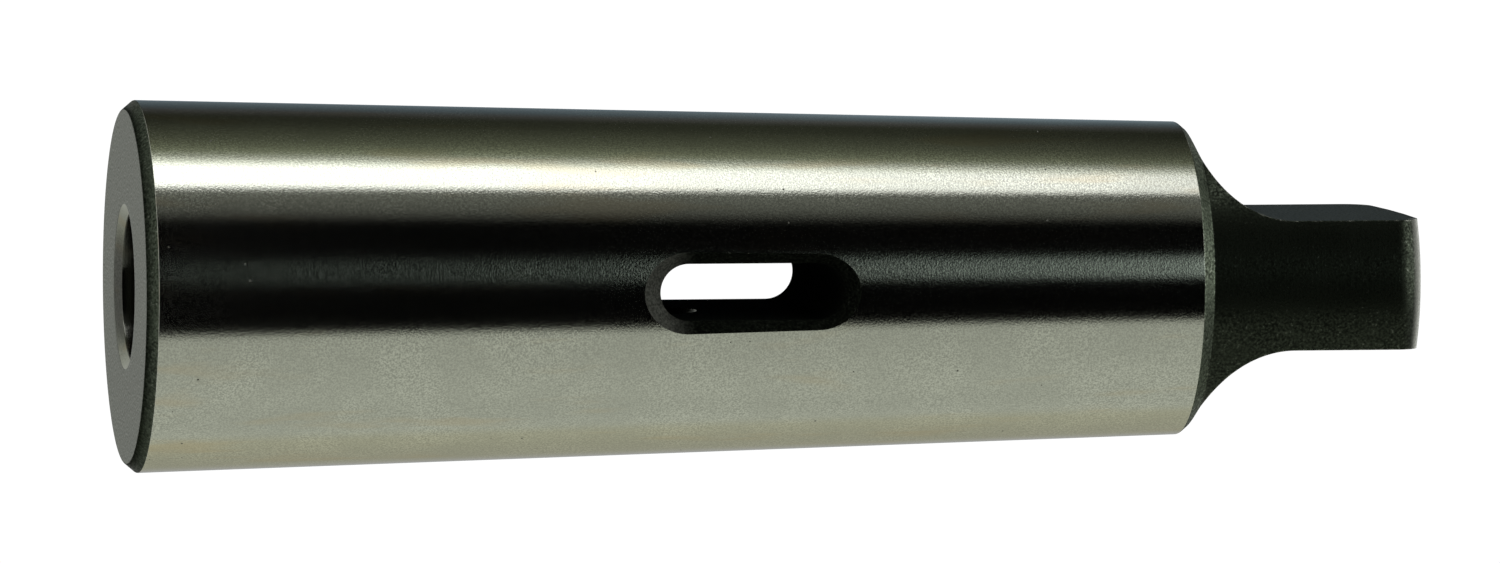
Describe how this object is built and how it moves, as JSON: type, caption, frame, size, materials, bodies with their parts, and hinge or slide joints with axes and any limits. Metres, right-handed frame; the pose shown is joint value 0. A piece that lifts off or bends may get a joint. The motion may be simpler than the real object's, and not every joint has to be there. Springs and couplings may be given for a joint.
{
  "type": "morse taper sleeve",
  "caption": "Reduction sleeve: a ground outside Morse taper with a flat tang, a smaller Morse taper socket in its large end, and a drift slot through its side.",
  "frame": {"origin": "centre of the large end face, on which the sleeve stands", "axes": "+Z along the axis from the large end to the tang; the drift slot goes through along Y; the tang's flats face +X and -X"},
  "size_m": [0.0446, 0.0446, 0.156],
  "materials": {
    "steel": "satin ground taper, the other surfaces blackened"
  },
  "bodies": {
    "root": {"taper_sleeve": "steel"}
  },
  "joints": []
}
